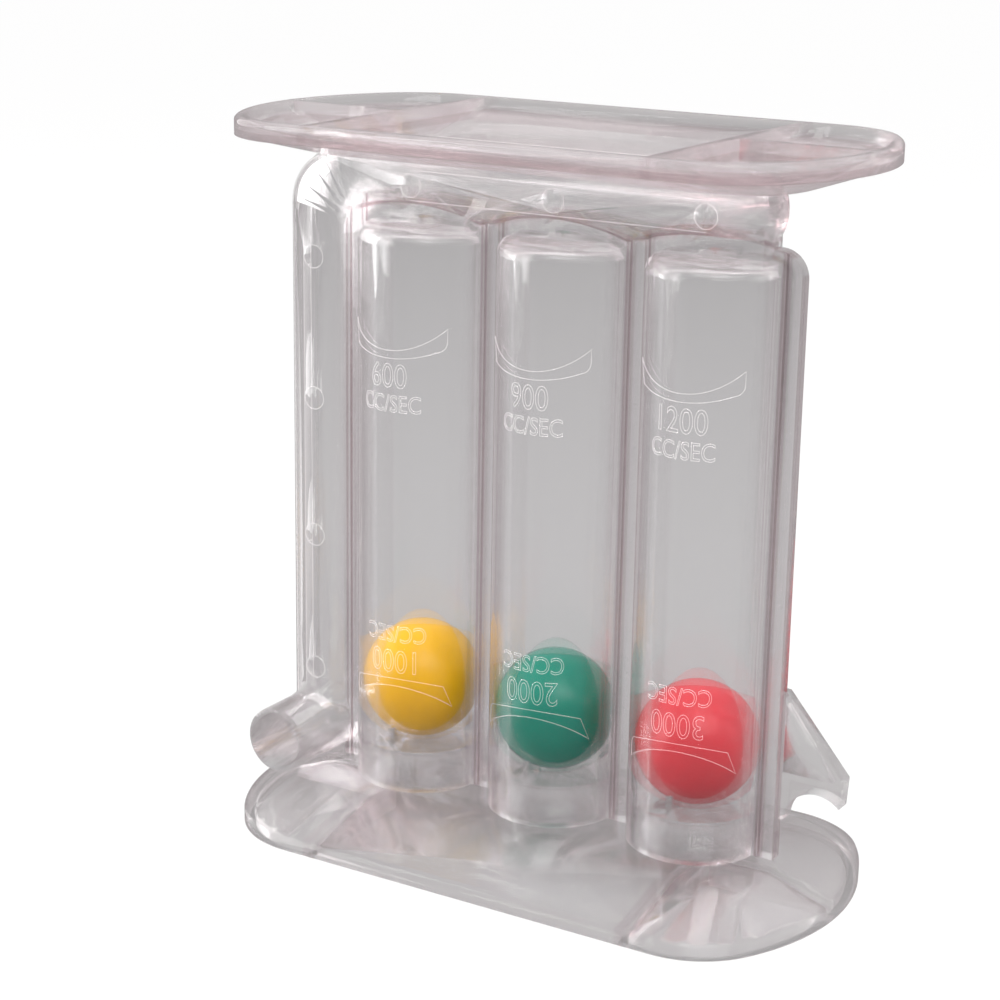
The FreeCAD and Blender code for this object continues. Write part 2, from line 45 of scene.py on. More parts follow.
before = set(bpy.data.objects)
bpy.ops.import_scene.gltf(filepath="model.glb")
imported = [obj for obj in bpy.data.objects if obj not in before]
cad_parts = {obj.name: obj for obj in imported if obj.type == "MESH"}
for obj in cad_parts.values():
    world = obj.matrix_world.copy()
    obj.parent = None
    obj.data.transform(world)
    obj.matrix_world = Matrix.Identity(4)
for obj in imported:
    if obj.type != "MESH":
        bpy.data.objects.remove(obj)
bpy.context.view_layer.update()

SHELLS = ("front_shell", "rear_shell")
PLATES = ("base_plate", "top_plate")
PLUGS = ("left_tube_plug", "middle_tube_plug", "right_tube_plug")
BALLS = ("yellow_ball", "green_ball", "red_ball")


def middle(node):
    low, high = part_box(node)
    return (low + high) / 2


# Places on the object, from the frame
SEAM_Y = (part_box("front_shell")[1].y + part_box("rear_shell")[0].y) / 2
TUBE_X = [middle(ball).x for ball in BALLS]
BALL_RADIUS = (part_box("red_ball")[1].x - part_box("red_ball")[0].x) / 2
TUBE_RADIUS = BALL_RADIUS + 1.1 * MM
FLANGE_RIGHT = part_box("front_shell")[1].x
PLATE_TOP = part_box("top_plate")[1].z
RIB_X = 36.0 * MM
PAD_FACE = SEAM_Y - 5.8 * MM
DUCT_FACE = SEAM_Y - 5.56 * MM
TRAY_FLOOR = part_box("top_plate")[0].z + 2.03 * MM
PAD_RADIUS = 2.4 * MM
PAD_COLUMN = (TUBE_X[0] - 23.6 * MM, 28.15 * MM, 117.25 * MM)
ARM_PADS = 133.85 * MM
BODY_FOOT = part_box("front_shell")[0].z
BODY_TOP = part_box("front_shell")[1].z
FLANGE_WALL = 1.75 * MM
ARCH_TOP = BODY_TOP - 9.7 * MM
ARCH_RADIUS = 48.5 * MM

# Ridges beside the pads and in the tray
COLUMN_RIDGE_SHIFT = 2.6 * MM
COLUMN_RIDGE_STEP = 1.8 * MM
COLUMN_RIDGE_REACH = 4 * MM
ARM_RIDGE_GAP = 3.0 * MM
TRAY_RIDGE_START = (-34 * MM, 3 * MM, TRAY_FLOOR)
TRAY_RIDGE_LENGTH = 68 * MM
TRAY_RIDGE_STEP = 2.2 * MM

# Markings: heights above the floor, shifts round the tube and the letters' proportions
UPPER_NUMBER = 96.6 * MM
UPPER_UNIT = 91.0 * MM
UPPER_BOAT = 102.0 * MM
LOWER_NUMBER = 37.0 * MM
LOWER_UNIT = 42.9 * MM
LOWER_BOAT = 31.4 * MM
LOWER_SHIFT = 1.8 * MM
UNIT_SHIFT = 0.4 * MM
LETTER_WIDTH = 0.82
CAPITAL_SHARE = 0.7
BOAT_SIZES = (12.4 * MM, 4.6 * MM, 1.6 * MM)

BUBBLE_DEPTH = 0.024 * MM

# Stage
CAMERA_TARGET = Vector((-12.2398, 0.0, 71.4996)) * MM
LAMP_TARGET = Vector((0.0, 0.0, 70.0)) * MM
LAMP_DISTANCE = 0.9
WHITE = (1.0, 1.0, 1.0, 1.0)


class Field:
    """An output socket that can stand in sums, differences, products and powers."""

    def __init__(self, graph, socket):
        self.graph = graph
        self.socket = socket

    def __add__(self, other):
        return self.graph.maths("ADD", self, other)

    def __sub__(self, other):
        return self.graph.maths("SUBTRACT", self, other)

    def __rsub__(self, other):
        return self.graph.maths("SUBTRACT", other, self)

    def __mul__(self, other):
        return self.graph.maths("MULTIPLY", self, other)

    def __pow__(self, other):
        return self.graph.maths("POWER", self, other)

    def __rpow__(self, other):
        return self.graph.maths("POWER", other, self)

    __radd__ = __add__
    __rmul__ = __mul__


class Graph:
    """A node tree that is filled in by calls."""

    def __init__(self, tree):
        self.tree = tree
        self.tree.nodes.clear()

    def node(self, kind, inputs=None, output=0, **settings):
        """Add a node with its settings and inputs, and give one of its outputs."""
        made = self.tree.nodes.new(kind)
        for name, setting in settings.items():
            setattr(made, name, setting)
        for name, source in (inputs or {}).items():
            self.feed(made.inputs[name], source)
        return Field(self, made.outputs[output]) if made.outputs else made

    def feed(self, socket, source):
        if isinstance(source, Field):
            self.tree.links.new(source.socket, socket)
        else:
            socket.default_value = source

    def maths(self, operation, first, second=0.0):
        return self.node("ShaderNodeMath", {0: first, 1: second}, operation=operation)

    def bounded(self, first, second, operation):
        return self.node("ShaderNodeMath", {0: first, 1: second}, operation=operation, use_clamp=True)

    def noise(self, place, scale, detail=2.0):
        return self.node("ShaderNodeTexNoise", {"Vector": place, "Scale": scale, "Detail": detail}, "Fac")

    def mix_colour(self, share, first, second):
        made = self.tree.nodes.new("ShaderNodeMix")
        made.data_type = "RGBA"
        sockets = {socket.identifier: socket for socket in made.inputs}
        self.feed(sockets["Factor_Float"], share)
        self.feed(sockets["A_Color"], first)
        self.feed(sockets["B_Color"], second)
        return Field(self, next(s for s in made.outputs if s.identifier == "Result_Color"))


def new_material(name):
    material = bpy.data.materials.new(name)
    material.use_nodes = True
    return material, Graph(material.node_tree)


def object_place(graph, stretch=(1.0, 1.0, 1.0)):
    """Object coordinates through a Mapping node."""
    place = graph.node("ShaderNodeTexCoord", output="Object")
    return graph.node("ShaderNodeMapping", {"Vector": place, "Scale": stretch})


WAVE_SCALE = 55.0
FLOW_SCALE = 420.0
FLOW_STRETCH = (1.0, 1.0, 0.12)
SPECK_SCALE = 900.0
FLOW_HEIGHT = 0.06
SPECK_HEIGHT = 0.01


def clear_plastic(name, look, density, haze, wave, glow, shading=None, gloss_share=1.0):
    """Clear moulded plastic: light goes straight or bent through walls that darken at their edges, with
    painted shade in their colour and a painted glow.
    """
    material, graph = new_material(name)
    place = object_place(graph)
    slow = graph.noise(place, WAVE_SCALE)
    flow = graph.noise(object_place(graph, FLOW_STRETCH), FLOW_SCALE, 3.0)
    speck = graph.noise(place, SPECK_SCALE, 1.0)
    height = slow * wave + flow * FLOW_HEIGHT + speck * SPECK_HEIGHT
    normal = graph.node("ShaderNodeBump", {
        "Strength": look.waviness, "Distance": 0.6 * MM, "Height": height})
    # Painted shade: the given share turns the colour and the edge walls towards the painted shade tint
    shade = shading(graph, place) if shading else 0.0
    pale = graph.mix_colour(slow, (*look.tint, 1.0), (*look.clear_tint, 1.0))
    colour = graph.mix_colour(shade, pale, (*look.painted_shade_tint, 1.0))
    # The emission is a painted glow that stands in for light passed on inside the walls
    bent = graph.node("ShaderNodeBsdfPrincipled", {
        "Base Color": colour, "Roughness": look.roughness + haze * flow, "IOR": look.ior,
        "Transmission Weight": 1.0, "Emission Color": (*look.glow, 1.0), "Emission Strength": glow,
        "Normal": normal})
    facing = graph.node("ShaderNodeLayerWeight", {"Blend": 0.5, "Normal": normal}, "Facing")
    rim = graph.bounded(facing ** look.edge_sharpness, shade, "ADD")
    open_wall = graph.node("ShaderNodeBsdfTransparent", {"Color": (*look.tint, 1.0)})
    edge_wall = graph.node("ShaderNodeBsdfTransparent", {"Color": (*look.painted_shade_tint, 1.0)})
    straight = graph.node("ShaderNodeMixShader", {"Fac": rim, 1: open_wall, 2: edge_wall})
    wall = graph.node("ShaderNodeMixShader", {"Fac": look.straight_share, 1: bent, 2: straight})
    gloss = graph.node("ShaderNodeBsdfGlossy", {
        "Color": WHITE, "Roughness": look.roughness, "Normal": normal})
    inner = graph.node("ShaderNodeFresnel", {"IOR": look.ior, "Normal": normal})
    mirror = (facing ** 3.0 * look.rim_shine + inner * look.inner_shine + look.shine) * gloss_share
    surface = graph.node("ShaderNodeMixShader", {"Fac": mirror, 1: wall, 2: gloss})
    volume = graph.node("ShaderNodeVolumeAbsorption", {"Color": (*look.edge_tint, 1.0), "Density": density})
    graph.node("ShaderNodeOutputMaterial", {"Surface": surface, "Volume": volume})
    return material


# Widths and strengths of the painted shade on the shells and plates
LINE_GAP = 0.7 * MM
LINE_REACH = 0.35 * MM
LINE_SOFTNESS = 0.15 * MM
FLANGE_PAINTED_SHADE = 0.03
ARCH_REACH = 0.5 * MM
ARCH_RISE = 6 * MM
ARCH_PAINTED_SHADE = 0.75
BAND_DROP = 3.0 * MM
BAND_REACH = 0.9 * MM
BAND_PAINTED_SHADE = 0.55
RIB_REACH = 1.1 * MM
RIB_PAINTED_SHADE = 0.3
SOFTNESS = 0.2 * MM


def within(graph, distance, reach, softness=SOFTNESS):
    """1 where a distance is under a reach, fading to 0 at the reach."""
    return graph.bounded(reach - graph.maths("ABSOLUTE", distance), softness, "DIVIDE")


def shell_painted_shade(graph, place):
    """A share of painted shade that darkens the lines beside and over the tubes, and the bonded flanges a
    little.
    """
    x, y, z = (graph.node("ShaderNodeSeparateXYZ", {"Vector": place}, axis) for axis in "XYZ")
    half_pitch = (TUBE_X[1] - TUBE_X[0]) / 2
    from_tube = graph.node("ShaderNodeMath", {0: x - TUBE_X[0], 1: half_pitch}, operation="PINGPONG")
    # painted shade: dark lines beside the tubes and over the arches, where the walls are seen edge-on
    line = within(graph, from_tube - (TUBE_RADIUS + LINE_GAP), LINE_REACH, LINE_SOFTNESS)
    flange = within(graph, y - SEAM_Y, FLANGE_WALL)
    rise = z - (ARCH_TOP - ARCH_RADIUS)
    from_middle = (from_tube ** 2.0 + rise ** 2.0) ** 0.5
    arch = within(graph, from_middle - ARCH_RADIUS, ARCH_REACH)
    above = graph.bounded(z - (ARCH_TOP - ARCH_RISE), 1.0 * MM, "DIVIDE")
    beside_duct = graph.bounded(x - (TUBE_X[0] - half_pitch), 1.0 * MM, "DIVIDE")
    return graph.bounded(flange * (line + FLANGE_PAINTED_SHADE), arch * above * beside_duct * ARCH_PAINTED_SHADE, "ADD")


def plate_painted_shade(graph, place):
    """A share of painted shade that darkens the lower band of the top plate's edge and the cross ribs of both
    plates.
    """
    x, z = (graph.node("ShaderNodeSeparateXYZ", {"Vector": place}, axis) for axis in "XZ")
    band = within(graph, z - (PLATE_TOP - BAND_DROP), BAND_REACH)
    rib = within(graph, graph.maths("ABSOLUTE", x) - RIB_X, RIB_REACH)
    return graph.bounded(band * BAND_PAINTED_SHADE, rib * RIB_PAINTED_SHADE, "ADD")


PARTING_LINE = 0.12 * MM
MOTTLE_SCALE = 90.0
PEEL_SCALE = 700.0
DEEP_SHARE = 0.86


def ball_plastic(name, colour, centre, look):
    """Opaque gloss plastic with a faint parting line and orange peel."""
    material, graph = new_material(name)
    place = object_place(graph)
    height_up = graph.node("ShaderNodeSeparateXYZ", {"Vector": place}, "Z")
    from_line = graph.maths("ABSOLUTE", height_up - centre.z)
    line = 1.0 - graph.bounded(from_line, PARTING_LINE, "DIVIDE")
    mottle = graph.noise(place, MOTTLE_SCALE, 3.0)
    peel = graph.noise(place, PEEL_SCALE)
    deep = tuple(channel * DEEP_SHARE for channel in colour)
    shade = graph.mix_colour(mottle, (*deep, 1.0), (*colour, 1.0))
    normal = graph.node("ShaderNodeBump", {
        "Strength": 0.12, "Distance": 0.1 * MM, "Height": peel * 0.25 + line * 0.8})
    surface = graph.node("ShaderNodeBsdfPrincipled", {
        "Base Color": shade, "Roughness": look.roughness + mottle * 0.06, "Specular IOR Level": 0.22,
        "Normal": normal})
    graph.node("ShaderNodeOutputMaterial", {"Surface": surface})
    return material


def link(thing):
    bpy.context.scene.collection.objects.link(thing)
    return thing


def finish_piece(thing, body, slot_name, *nodes):
    """Give a piece its body and hide the CAD nodes that it stands for. slot_name is not used."""
    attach(thing, body)
    if nodes:
        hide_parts(*nodes)


def smooth_copy(node, name, material, sharp_angle=28.0):
    """A copy of a CAD node with its points merged and smooth shading up to an angle."""
    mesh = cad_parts[node].data.copy()
    mesh.name = name
    work = bmesh.new()
    work.from_mesh(mesh)
    bmesh.ops.remove_doubles(work, verts=work.verts, dist=1e-6)
    bmesh.ops.dissolve_degenerate(work, edges=work.edges, dist=1e-7)
    work.to_mesh(mesh)
    work.free()
    mesh.shade_smooth()
    mesh.set_sharp_from_angle(angle=math.radians(sharp_angle))
    mesh.materials.clear()
    mesh.materials.append(material)
    return link(bpy.data.objects.new(name, mesh))


class ClearLook(bpy.types.PropertyGroup):
    ior: bpy.props.FloatProperty(
        name="Index of refraction", description="How strongly the plastic bends light",
        default=1.3, min=1.2, max=1.7)
    shine: bpy.props.FloatProperty(
        name="Shine", description="Strength of reflections seen head on",
        default=0.008, min=0.0, max=1.0, subtype="FACTOR")
    rim_shine: bpy.props.FloatProperty(
        name="Rim shine", description="Strength of reflections at grazing angles",
        default=0.5, min=0.0, max=1.0, subtype="FACTOR")
    inner_shine: bpy.props.FloatProperty(
        name="Inner shine", description="Strength of reflections inside the walls",
        default=0.25, min=0.0, max=1.0, subtype="FACTOR")
    roughness: bpy.props.FloatProperty(
        name="Roughness", description="Roughness of the moulded surface",
        default=0.015, min=0.0, max=1.0, subtype="FACTOR")
    waviness: bpy.props.FloatProperty(
        name="Waviness", description="Strength of the moulding waves",
        default=0.06, min=0.0, max=1.0, subtype="FACTOR")
    tint: bpy.props.FloatVectorProperty(
        name="Tint", description="Colour of light through the surface",
        default=(0.985, 0.984, 0.986), size=3, subtype="COLOR")
    clear_tint: bpy.props.FloatVectorProperty(
        name="Clear tint", description="Colour where the surface is clearest",
        default=(0.985, 0.99, 0.99), size=3, subtype="COLOR")
    # Colour of the painted shade along lines and edges
    painted_shade_tint: bpy.props.FloatVectorProperty(
        name="Rim tint", description="Colour of light through the walls' edges",
        default=(0.76, 0.685, 0.70), size=3, subtype="COLOR")
    edge_sharpness: bpy.props.FloatProperty(
        name="Edge sharpness", description="How thin the dark edges are",
        default=4.2, min=1.0)
    edge_tint: bpy.props.FloatVectorProperty(
        name="Edge tint", description="Colour that thick plastic takes",
        default=(1.0, 0.91, 0.92), size=3, subtype="COLOR")
    straight_share: bpy.props.FloatProperty(
        name="Straight light", description="Share of light that isn't bent",
        default=0.7, min=0.0, max=1.0, subtype="FACTOR")
    # Painted glow: emission colour and strengths that stand in for light passed on inside the walls
    glow: bpy.props.FloatVectorProperty(
        name="Stray light", description="Colour of light that the walls pass on",
        default=(0.86, 0.82, 0.825), size=3, subtype="COLOR")
    stray_painted_glow: bpy.props.FloatProperty(
        name="Stray light strength", description="Stray light at each surface",
        default=0.006, min=0.0)
    tray_painted_glow: bpy.props.FloatProperty(
        name="Tray stray light", description="Stray light of the top plate",
        default=0.12, min=0.0)
    marking_painted_glow: bpy.props.FloatProperty(
        name="Marking stray light", description="Stray light of the markings",
        default=0.65, min=0.0)
    ridge_painted_glow: bpy.props.FloatProperty(
        name="Ridge stray light", description="Stray light of rims and ridges",
        default=0.6, min=0.0)
    density: bpy.props.FloatProperty(
        name="Density", description="Absorption for each metre of plastic",
        default=36.0, min=0.0)


class BallLook(bpy.types.PropertyGroup):
    yellow: bpy.props.FloatVectorProperty(
        name="Yellow", description="Colour of the first ball",
        default=(0.86, 0.46, 0.0), size=3, subtype="COLOR")
    green: bpy.props.FloatVectorProperty(
        name="Green", description="Colour of the middle ball",
        default=(0.0, 0.22, 0.15), size=3, subtype="COLOR")
    red: bpy.props.FloatVectorProperty(
        name="Red", description="Colour of the last ball",
        default=(0.66, 0.045, 0.06), size=3, subtype="COLOR")
    roughness: bpy.props.FloatProperty(
        name="Roughness", description="Roughness of the balls' surface",
        default=0.14, min=0.0, max=1.0, subtype="FACTOR")


class MarkingSizes(bpy.types.PropertyGroup):
    number_size: bpy.props.FloatProperty(
        name="Number height", description="Height of the flow numbers",
        default=4.9 * MM, unit="LENGTH")
    unit_size: bpy.props.FloatProperty(
        name="Unit height", description="Height of the unit's letters",
        default=3.5 * MM, unit="LENGTH")
    stroke: bpy.props.FloatProperty(
        name="Stroke radius", description="Radius of the raised outlines",
        default=0.07 * MM, unit="LENGTH")


class SeamSizes(bpy.types.PropertyGroup):
    bubbles: bpy.props.IntProperty(
        name="Bubbles", description="Bubbles along each seam",
        default=90, min=1)
    bubble_radius: bpy.props.FloatProperty(
        name="Bubble radius", description="Radius of the largest bubble",
        default=0.32 * MM, unit="LENGTH")
    seed: bpy.props.IntProperty(
        name="Seed", description="Seed of the bubbles' places",
        default=4)


class StageSizes(bpy.types.PropertyGroup):
    floor_size: bpy.props.FloatProperty(
        name="Floor size", description="Side of the floor",
        default=6.0, unit="LENGTH")
    through_grey: bpy.props.FloatProperty(
        name="Backdrop through plastic", description="Brightness of the room seen through clear parts",
        default=0.385, min=0.0, max=1.0, subtype="FACTOR")
    front_light: bpy.props.FloatProperty(
        name="Room before the object", description="Brightness of the room on the camera's side",
        default=0.3, min=0.0)
    sky_rise: bpy.props.FloatProperty(
        name="Sky", description="How fast the room brightens upwards",
        default=1.1, min=0.0)
    lamp_power: bpy.props.FloatProperty(
        name="Lamps", description="Power that each lamp's share is taken of",
        default=3.6, unit="POWER")
    azimuth: bpy.props.FloatProperty(
        name="Azimuth", description="Camera's angle round the object",
        default=math.radians(30.973), subtype="ANGLE")
    elevation: bpy.props.FloatProperty(
        name="Elevation", description="Camera's angle above the floor",
        default=math.radians(15.912), subtype="ANGLE")
    roll: bpy.props.FloatProperty(
        name="Roll", description="Camera's tilt about its own axis",
        default=math.radians(0.967), subtype="ANGLE")
    distance: bpy.props.FloatProperty(
        name="Distance", description="Camera to target",
        default=0.4652022, unit="LENGTH")
    lens: bpy.props.FloatProperty(
        name="Lens", description="Focal length on a 36 mm sensor",
        default=82.84)


class SPIROMETER_OT_shells(bpy.types.Operator):
    """Replace the two body shells by smooth clear copies"""
    bl_idname = "spirometer.shells"
    bl_label = "Body shells"

    def execute(self, context):
        look = context.scene.spirometer_clear
        material = clear_plastic("clear_shell_plastic", look, look.density, haze=0.015, wave=0.5,
                                 glow=look.stray_painted_glow, shading=shell_painted_shade)
        for node in SHELLS:
            finish_piece(smooth_copy(node, f"{node}_clear", material), "root", "clear_shell", node)
        return {"FINISHED"}


class SPIROMETER_OT_plates(bpy.types.Operator):
    """Replace the base and top plates by smooth clear copies"""
    bl_idname = "spirometer.plates"
    bl_label = "End plates"

    def execute(self, context):
        look = context.scene.spirometer_clear
        # The top plate gets a stronger painted glow than the base plate
        for node, stray, gloss_share in zip(PLATES, (look.stray_painted_glow, look.tray_painted_glow), (0.35, 0.45)):
            material = clear_plastic(f"{node}_plastic", look, look.density, haze=0.02, wave=0.35,
                                     glow=stray, shading=plate_painted_shade, gloss_share=gloss_share)
            finish_piece(smooth_copy(node, f"{node}_clear", material), "root", "clear_plate", node)
        return {"FINISHED"}


class SPIROMETER_OT_plugs(bpy.types.Operator):
    """Replace the tube plugs by smooth clear copies"""
    bl_idname = "spirometer.plugs"
    bl_label = "Tube plugs"

    def execute(self, context):
        look = context.scene.spirometer_clear
        material = clear_plastic("clear_plug_plastic", look, look.density * 0.8, haze=0.06, wave=0.3,
                                 glow=look.stray_painted_glow)
        for node in PLUGS:
            finish_piece(smooth_copy(node, f"{node}_clear", material), "root", "clear_plug", node)
        return {"FINISHED"}


class SPIROMETER_OT_balls(bpy.types.Operator):
    """Replace the balls by smooth glossy copies"""
    bl_idname = "spirometer.balls"
    bl_label = "Balls"

    def execute(self, context):
        look = context.scene.spirometer_balls
        for ball, colour in zip(BALLS, (look.yellow, look.green, look.red)):
            name = ball.split("_")[0]
            material = ball_plastic(f"{name}_ball_plastic", tuple(colour), middle(ball), look)
            copy = smooth_copy(ball, f"{ball}_gloss", material, 60.0)
            finish_piece(copy, ball, f"{name}_plastic", ball)
        return {"FINISHED"}


def outline_text(text, size, stroke):
    """A flat mesh of a narrow text's outlines as round strokes, centred on its own middle."""
    curve = bpy.data.curves.new("text_outline", "FONT")
    curve.body = text
    curve.size = size / CAPITAL_SHARE
    curve.align_x = "CENTER"
    curve.align_y = "CENTER"
    curve.fill_mode = "NONE"
    curve.bevel_depth = stroke
    curve.bevel_resolution = 1
    curve.resolution_u = 4
    holder = link(bpy.data.objects.new("text_outline", curve))
    seen = holder.evaluated_get(bpy.context.evaluated_depsgraph_get())
    mesh = bpy.data.meshes.new_from_object(seen)
    bpy.data.objects.remove(holder)
    bpy.data.curves.remove(curve)
    return mesh


def wrap_on_tube(mesh, tube, height, shift=0.0, upside_down=False, width=1.0):
    """Bend a flat mesh round the front of a tube, made narrower or turned upside down on the way."""
    turn = -1.0 if upside_down else 1.0
    for vertex in mesh.vertices:
        flat = vertex.co
        angle = (turn * width * flat.x + shift) / TUBE_RADIUS
        reach = TUBE_RADIUS + flat.z
        vertex.co = (TUBE_X[tube] + reach * math.sin(angle), SEAM_Y - reach * math.cos(angle),
                     height + turn * flat.y)


def join_meshes(name, meshes, material):
    """One object that holds several meshes."""
    work = bmesh.new()
    for mesh in meshes:
        work.from_mesh(mesh)
    joined = bpy.data.meshes.new(name)
    work.to_mesh(joined)
    work.free()
    for mesh in meshes:
        bpy.data.meshes.remove(mesh)
    joined.shade_smooth()
    joined.materials.append(material)
    return link(bpy.data.objects.new(name, joined))


def stroke_mesh(points, stroke):
    """A round closed stroke along flat points (x, y)."""
    curve = bpy.data.curves.new("stroke", "CURVE")
    curve.dimensions = "3D"
    curve.bevel_depth = stroke
    curve.bevel_resolution = 1
    line = curve.splines.new("POLY")
    line.points.add(len(points) - 1)
    for point, (x, y) in zip(line.points, points):
        point.co = (x, y, 0.0, 1.0)
    line.use_cyclic_u = True
    holder = link(bpy.data.objects.new("stroke", curve))
    seen = holder.evaluated_get(bpy.context.evaluated_depsgraph_get())
    mesh = bpy.data.meshes.new_from_object(seen)
    bpy.data.objects.remove(holder)
    bpy.data.curves.remove(curve)
    return mesh


BOAT_STEPS = 24
BOAT_CORNER_SHARE = 0.16
BOAT_CORNER_STEPS = 6
BOAT_FOOT_SHARE = 0.84


def boat_points(half_width, rise, depth):
    """A boat outline: a deep upper arc, a rounded right end and a shallow lower arc."""
    shares = [2 * i / BOAT_STEPS - 1 for i in range(BOAT_STEPS + 1)]
    upper = [(half_width * share, rise * share ** 2) for share in shares]
    corner = BOAT_CORNER_SHARE * half_width
    turns = [math.pi / 2 * i / BOAT_CORNER_STEPS for i in range(BOAT_CORNER_STEPS + 1)]
    end = [(half_width - corner * (1 - math.cos(turn)), corner * (1 - math.sin(turn))) for turn in turns]
    lower = [(x * BOAT_FOOT_SHARE, -depth * (1 - (x / half_width) ** 2)) for x, y in reversed(upper)]
    return upper + end + lower


class SPIROMETER_OT_markings(bpy.types.Operator):
    """Raise the flow numbers, their unit and the boat outlines on the tubes"""
    bl_idname = "spirometer.markings"
    bl_label = "Raised markings"

    UPPER = ("600", "900", "1200")
    LOWER = ("1000", "2000", "3000")
    UNIT = "CC/SEC"

    def execute(self, context):
        sizes = context.scene.spirometer_markings
        look = context.scene.spirometer_clear
        # The outlines glow: a painted highlight along the raised markings
        material = clear_plastic("marking_plastic", look, density=0.0, haze=0.1, wave=0.2,
                                 glow=look.marking_painted_glow)
        for tube, side in enumerate(("left", "middle", "right")):
            rows = (
                (self.UPPER[tube], sizes.number_size, UPPER_NUMBER, 0.0, False),
                (self.UNIT, sizes.unit_size, UPPER_UNIT, UNIT_SHIFT, False),
                (self.UNIT, sizes.unit_size, LOWER_UNIT, LOWER_SHIFT, True),
                (self.LOWER[tube], sizes.number_size, LOWER_NUMBER, LOWER_SHIFT, True),
            )
            meshes = []
            for text, size, height, shift, upside_down in rows:
                mesh = outline_text(text, size, sizes.stroke)
                wrap_on_tube(mesh, tube, height, shift, upside_down, LETTER_WIDTH)
                meshes.append(mesh)
            for height, shift, upside_down in ((UPPER_BOAT, 0.0, False), (LOWER_BOAT, LOWER_SHIFT, True)):
                boat = stroke_mesh(boat_points(*BOAT_SIZES), sizes.stroke)
                wrap_on_tube(boat, tube, height, shift, upside_down)
                meshes.append(boat)
            piece = join_meshes(f"{side}_tube_markings", meshes, material)
            finish_piece(piece, "root", "clear_shell")
        return {"FINISHED"}


def start_tree(name, **defaults):
    """A geometry tree with named inputs, each of its default's kind."""
    tree = bpy.data.node_groups.new(name, "GeometryNodeTree")
    graph = Graph(tree)
    kinds = {tuple: "NodeSocketVector", int: "NodeSocketInt", float: "NodeSocketFloat"}
    for label, default in defaults.items():
        socket = tree.interface.new_socket(label, in_out="INPUT", socket_type=kinds[type(default)])
        socket.default_value = default
    tree.interface.new_socket("Geometry", in_out="OUTPUT", socket_type="NodeSocketGeometry")
    entry = tree.nodes.new("NodeGroupInput")
    return graph, {socket.name: Field(graph, socket) for socket in entry.outputs if socket.name}


def finish_tree(graph, instances, material):
    """End a geometry tree with real geometry in one material."""
    solid = graph.node("GeometryNodeRealizeInstances", {"Geometry": instances})
    dressed = graph.node("GeometryNodeSetMaterial", {"Geometry": solid, "Material": material})
    graph.node("NodeGroupOutput", {"Geometry": dressed})
    return graph.tree


def grow(name, tree, **inputs):
    """Run a geometry tree on an empty mesh and keep its result as a plain mesh."""
    thing = link(bpy.data.objects.new(name, bpy.data.meshes.new(name)))
    modifier = thing.modifiers.new("Grow", "NODES")
    modifier.node_group = tree
    sockets = {item.name: item.identifier for item in tree.interface.items_tree if item.in_out == "INPUT"}
    for label, setting in inputs.items():
        modifier[sockets[label]] = setting
    thing.update_tag()
    seen = thing.evaluated_get(bpy.context.evaluated_depsgraph_get())
    mesh = bpy.data.meshes.new_from_object(seen)
    thing.modifiers.clear()
    thing.data = mesh
    mesh.shade_smooth()
    return thing


def round_section(graph, corners, radius):
    """A circle curve for a geometry tree."""
    return graph.node("GeometryNodeCurvePrimitiveCircle", {"Resolution": corners, "Radius": radius}, "Curve")


def ring_tree(material):
    """Geometry nodes: thin upright rings at equal steps along a line."""
    graph, given = start_tree("pad_rims", Start=ORIGIN, End=ORIGIN, Count=4, Radius=PAD_RADIUS,
                              Stroke=0.1 * MM)
    line = graph.node("GeometryNodeCurvePrimitiveLine", {"Start": given["Start"], "End": given["End"]})
    points = graph.node("GeometryNodeCurveToPoints", {"Curve": line, "Count": given["Count"]}, "Points")
    circle = round_section(graph, 48, given["Radius"])
    section = round_section(graph, 6, given["Stroke"])
    rim = graph.node("GeometryNodeCurveToMesh", {"Curve": circle, "Profile Curve": section})
    rims = graph.node("GeometryNodeInstanceOnPoints", {
        "Points": points, "Instance": rim, "Rotation": (math.pi / 2, 0.0, 0.0)})
    return finish_tree(graph, rims, material)


def ridge_tree(material):
    """Geometry nodes: thin straight ridges side by side."""
    graph, given = start_tree("ridges", Start=ORIGIN, Reach=ORIGIN, Step=ORIGIN, Count=2, Stroke=0.1 * MM)
    line = graph.node("GeometryNodeCurvePrimitiveLine", {"Start": ORIGIN, "End": given["Reach"]})
    section = round_section(graph, 6, given["Stroke"])
    ridge = graph.node("GeometryNodeCurveToMesh", {
        "Curve": line, "Profile Curve": section, "Fill Caps": True})
    places = graph.node("GeometryNodeMeshLine", {
        "Count": given["Count"], "Start Location": given["Start"], "Offset": given["Step"]})
    ridges = graph.node("GeometryNodeInstanceOnPoints", {"Points": places, "Instance": ridge})
    return finish_tree(graph, ridges, material)


